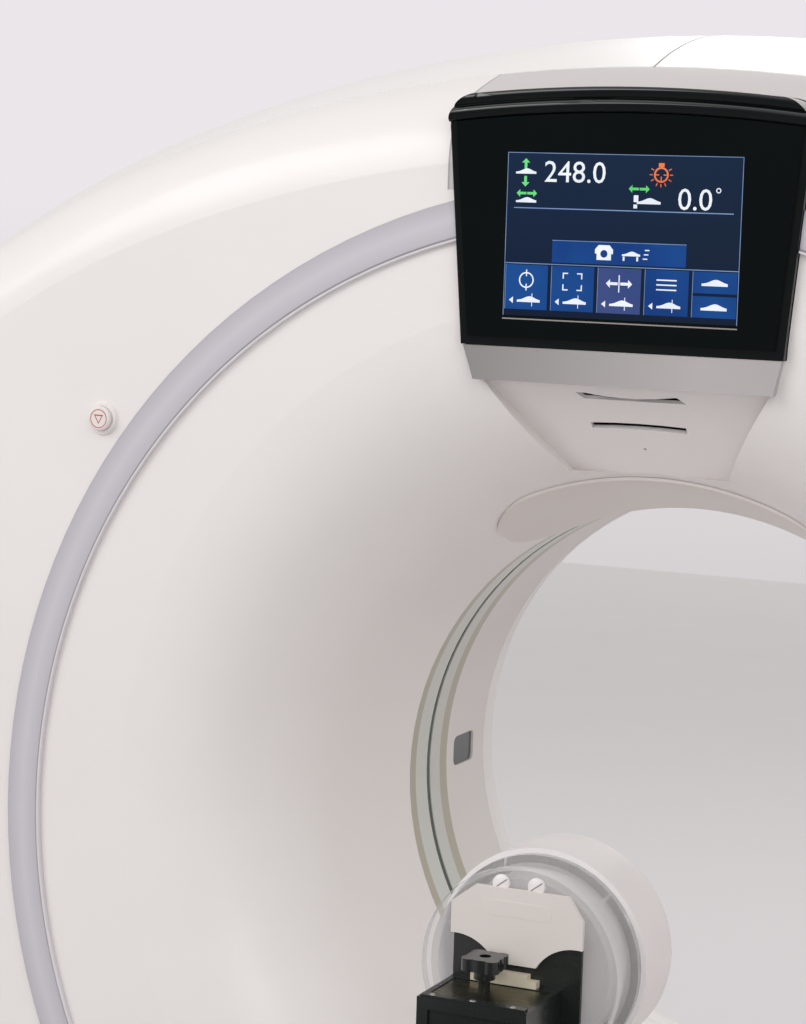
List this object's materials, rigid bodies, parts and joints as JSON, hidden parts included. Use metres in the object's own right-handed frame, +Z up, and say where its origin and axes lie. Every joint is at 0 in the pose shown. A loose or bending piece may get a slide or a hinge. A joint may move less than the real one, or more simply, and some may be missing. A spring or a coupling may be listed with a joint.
{
  "type": "computed tomography scanner",
  "caption": "Tilting ring gantry with a round patient bore, touch console, rotating X-ray assembly, lifting patient table with sliding cradle, and a test phantom on its holder.",
  "frame": {"origin": "on the floor, under the isocentre of the bore", "axes": "+Y through the bore away from the table, +X to the right of a person facing the gantry, +Z up"},
  "size_m": [2.22, 3.56, 1.885],
  "materials": {
    "shell_white": "satin warm white moulded cover",
    "trim_grey": "satin lavender grey trim",
    "console_black": "glossy black",
    "touch_glass": "black glass",
    "screen": "lit display",
    "band_grey": "silver grey",
    "slot_black": "matt black green",
    "lamp_white": "white diffuser",
    "window_band": "pale grey and tan bands",
    "window_film": "dark film",
    "liner": "satin",
    "laser_glass": "smoked window",
    "stop_white": "white button",
    "frame_steel": "grey paint",
    "bearing_steel": "ground steel",
    "rotor_aluminium": "machined",
    "tube_lead": "painted lead lined housing",
    "tank_enamel": "enamel",
    "copper_track": "contact tracks",
    "electronics": "anodised",
    "belt_rubber": "black",
    "motor_paint": "blue grey paint",
    "table_white": "satin cover",
    "duct_grey": "floor duct",
    "tube_chrome": "polished",
    "rail_dark": "glide strip",
    "carbon": "carbon fibre shell",
    "pad_vinyl": "dark vinyl over foam",
    "holder_black": "black anodised",
    "plate_white": "white plate",
    "acrylic": "clear acrylic",
    "phantom_white": "white cast body",
    "knob_black": "moulded"
  },
  "bodies": {
    "base": {"base_plates": "frame_steel", "floor_duct": "duct_grey", "stand_left": "frame_steel", "stand_right": "frame_steel", "stand_cover_left": "shell_white", "stand_cover_right": "shell_white", "trunnion_bearings": "bearing_steel", "tilt_gearmotor": "motor_paint", "table_base": "table_white", "lift_tube_low": "tube_chrome"},
    "gantry": {"stator_frame": "frame_steel", "front_cover": "shell_white", "rear_cover": "shell_white", "top_cover_left": "shell_white", "top_cover_right": "shell_white", "arc_trims": "trim_grey", "lozenge_cover": "shell_white", "console_housing": "console_black", "console_glass": "touch_glass", "screen_panel": "screen", "console_band": "band_grey", "slot_insert": "slot_black", "breathing_lights": "lamp_white", "window_rings": "window_band", "window_film": "window_film", "rear_liner": "liner", "laser_windows": "laser_glass", "estop_collars": "shell_white", "bearing_outer_race": "bearing_steel", "bearing_balls": "bearing_steel", "brush_block": "electronics", "drive_motor": "motor_paint", "drive_belt": "belt_rubber"},
    "stop_front_left": {"estop_front_left": "stop_white"},
    "stop_front_right": {"estop_front_right": "stop_white"},
    "stop_rear_left": {"estop_rear_left": "stop_white"},
    "stop_rear_right": {"estop_rear_right": "stop_white"},
    "rotor": {"rotor_drum": "rotor_aluminium", "bearing_inner_race": "bearing_steel", "xray_tube": "tube_lead", "hv_tank": "tank_enamel", "collimator": "electronics", "detector_arc": "rotor_aluminium", "data_boxes": "electronics", "heat_exchanger": "electronics", "slip_ring": "copper_track", "counterweights": "frame_steel"},
    "pulley": {"drive_pulley": "bearing_steel"},
    "mid_shroud": {"lift_shroud_mid": "table_white", "lift_tube_mid": "tube_chrome"},
    "table_top": {"table_frame": "table_white", "glide_rails": "rail_dark"},
    "cradle": {"cradle": "carbon", "cradle_pad": "pad_vinyl", "holder_box": "holder_black", "holder_plate": "holder_black", "phantom_plate": "plate_white", "phantom_flange": "acrylic", "phantom_body": "phantom_white"},
    "knob": {"holder_knob": "knob_black"}
  },
  "joints": [
    {"name": "gantry_tilt", "type": "hinge", "parent": "base", "child": "gantry", "pos_m": [0, 0, 1], "axis": [-1, 0, 0], "range_deg": [-30, 30]},
    {"name": "rotor_spin", "type": "hinge", "parent": "gantry", "child": "rotor", "pos_m": [0, 0, 1], "axis": [0, 1, 0], "continuous": true},
    {"name": "pulley_spin", "type": "hinge", "parent": "gantry", "child": "pulley", "pos_m": [0.70447, 0, 0.50672], "axis": [0, 1, 0], "continuous": true},
    {"name": "table_lift", "type": "slide", "parent": "base", "child": "table_top", "axis": [0, 0, 1], "range_m": [-0.32, 0.11]},
    {"name": "shroud_lift", "type": "slide", "parent": "base", "child": "mid_shroud", "axis": [0, 0, 1], "range_m": [-0.16, 0.055]},
    {"name": "cradle_slide", "type": "slide", "parent": "table_top", "child": "cradle", "axis": [0, 1, 0], "range_m": [-0.1, 1.6]},
    {"name": "press_front_left", "type": "slide", "parent": "gantry", "child": "stop_front_left", "axis": [0, 1, 0], "range_m": [0, 0.004], "stiffness_N_per_m": 600},
    {"name": "press_front_right", "type": "slide", "parent": "gantry", "child": "stop_front_right", "axis": [0, 1, 0], "range_m": [0, 0.004], "stiffness_N_per_m": 600},
    {"name": "press_rear_left", "type": "slide", "parent": "gantry", "child": "stop_rear_left", "axis": [0, -1, 0], "range_m": [0, 0.004], "stiffness_N_per_m": 600},
    {"name": "press_rear_right", "type": "slide", "parent": "gantry", "child": "stop_rear_right", "axis": [0, -1, 0], "range_m": [0, 0.004], "stiffness_N_per_m": 600},
    {"name": "knob_turn", "type": "hinge", "parent": "cradle", "child": "knob", "pos_m": [-0.039, -0.548, 0.9], "axis": [0, 0, 1], "continuous": true}
  ],
  "couplings": [
    {"joint": "pulley_spin", "follows": "rotor_spin", "ratio": 16.116},
    {"joint": "shroud_lift", "follows": "table_lift", "ratio": 0.5}
  ]
}
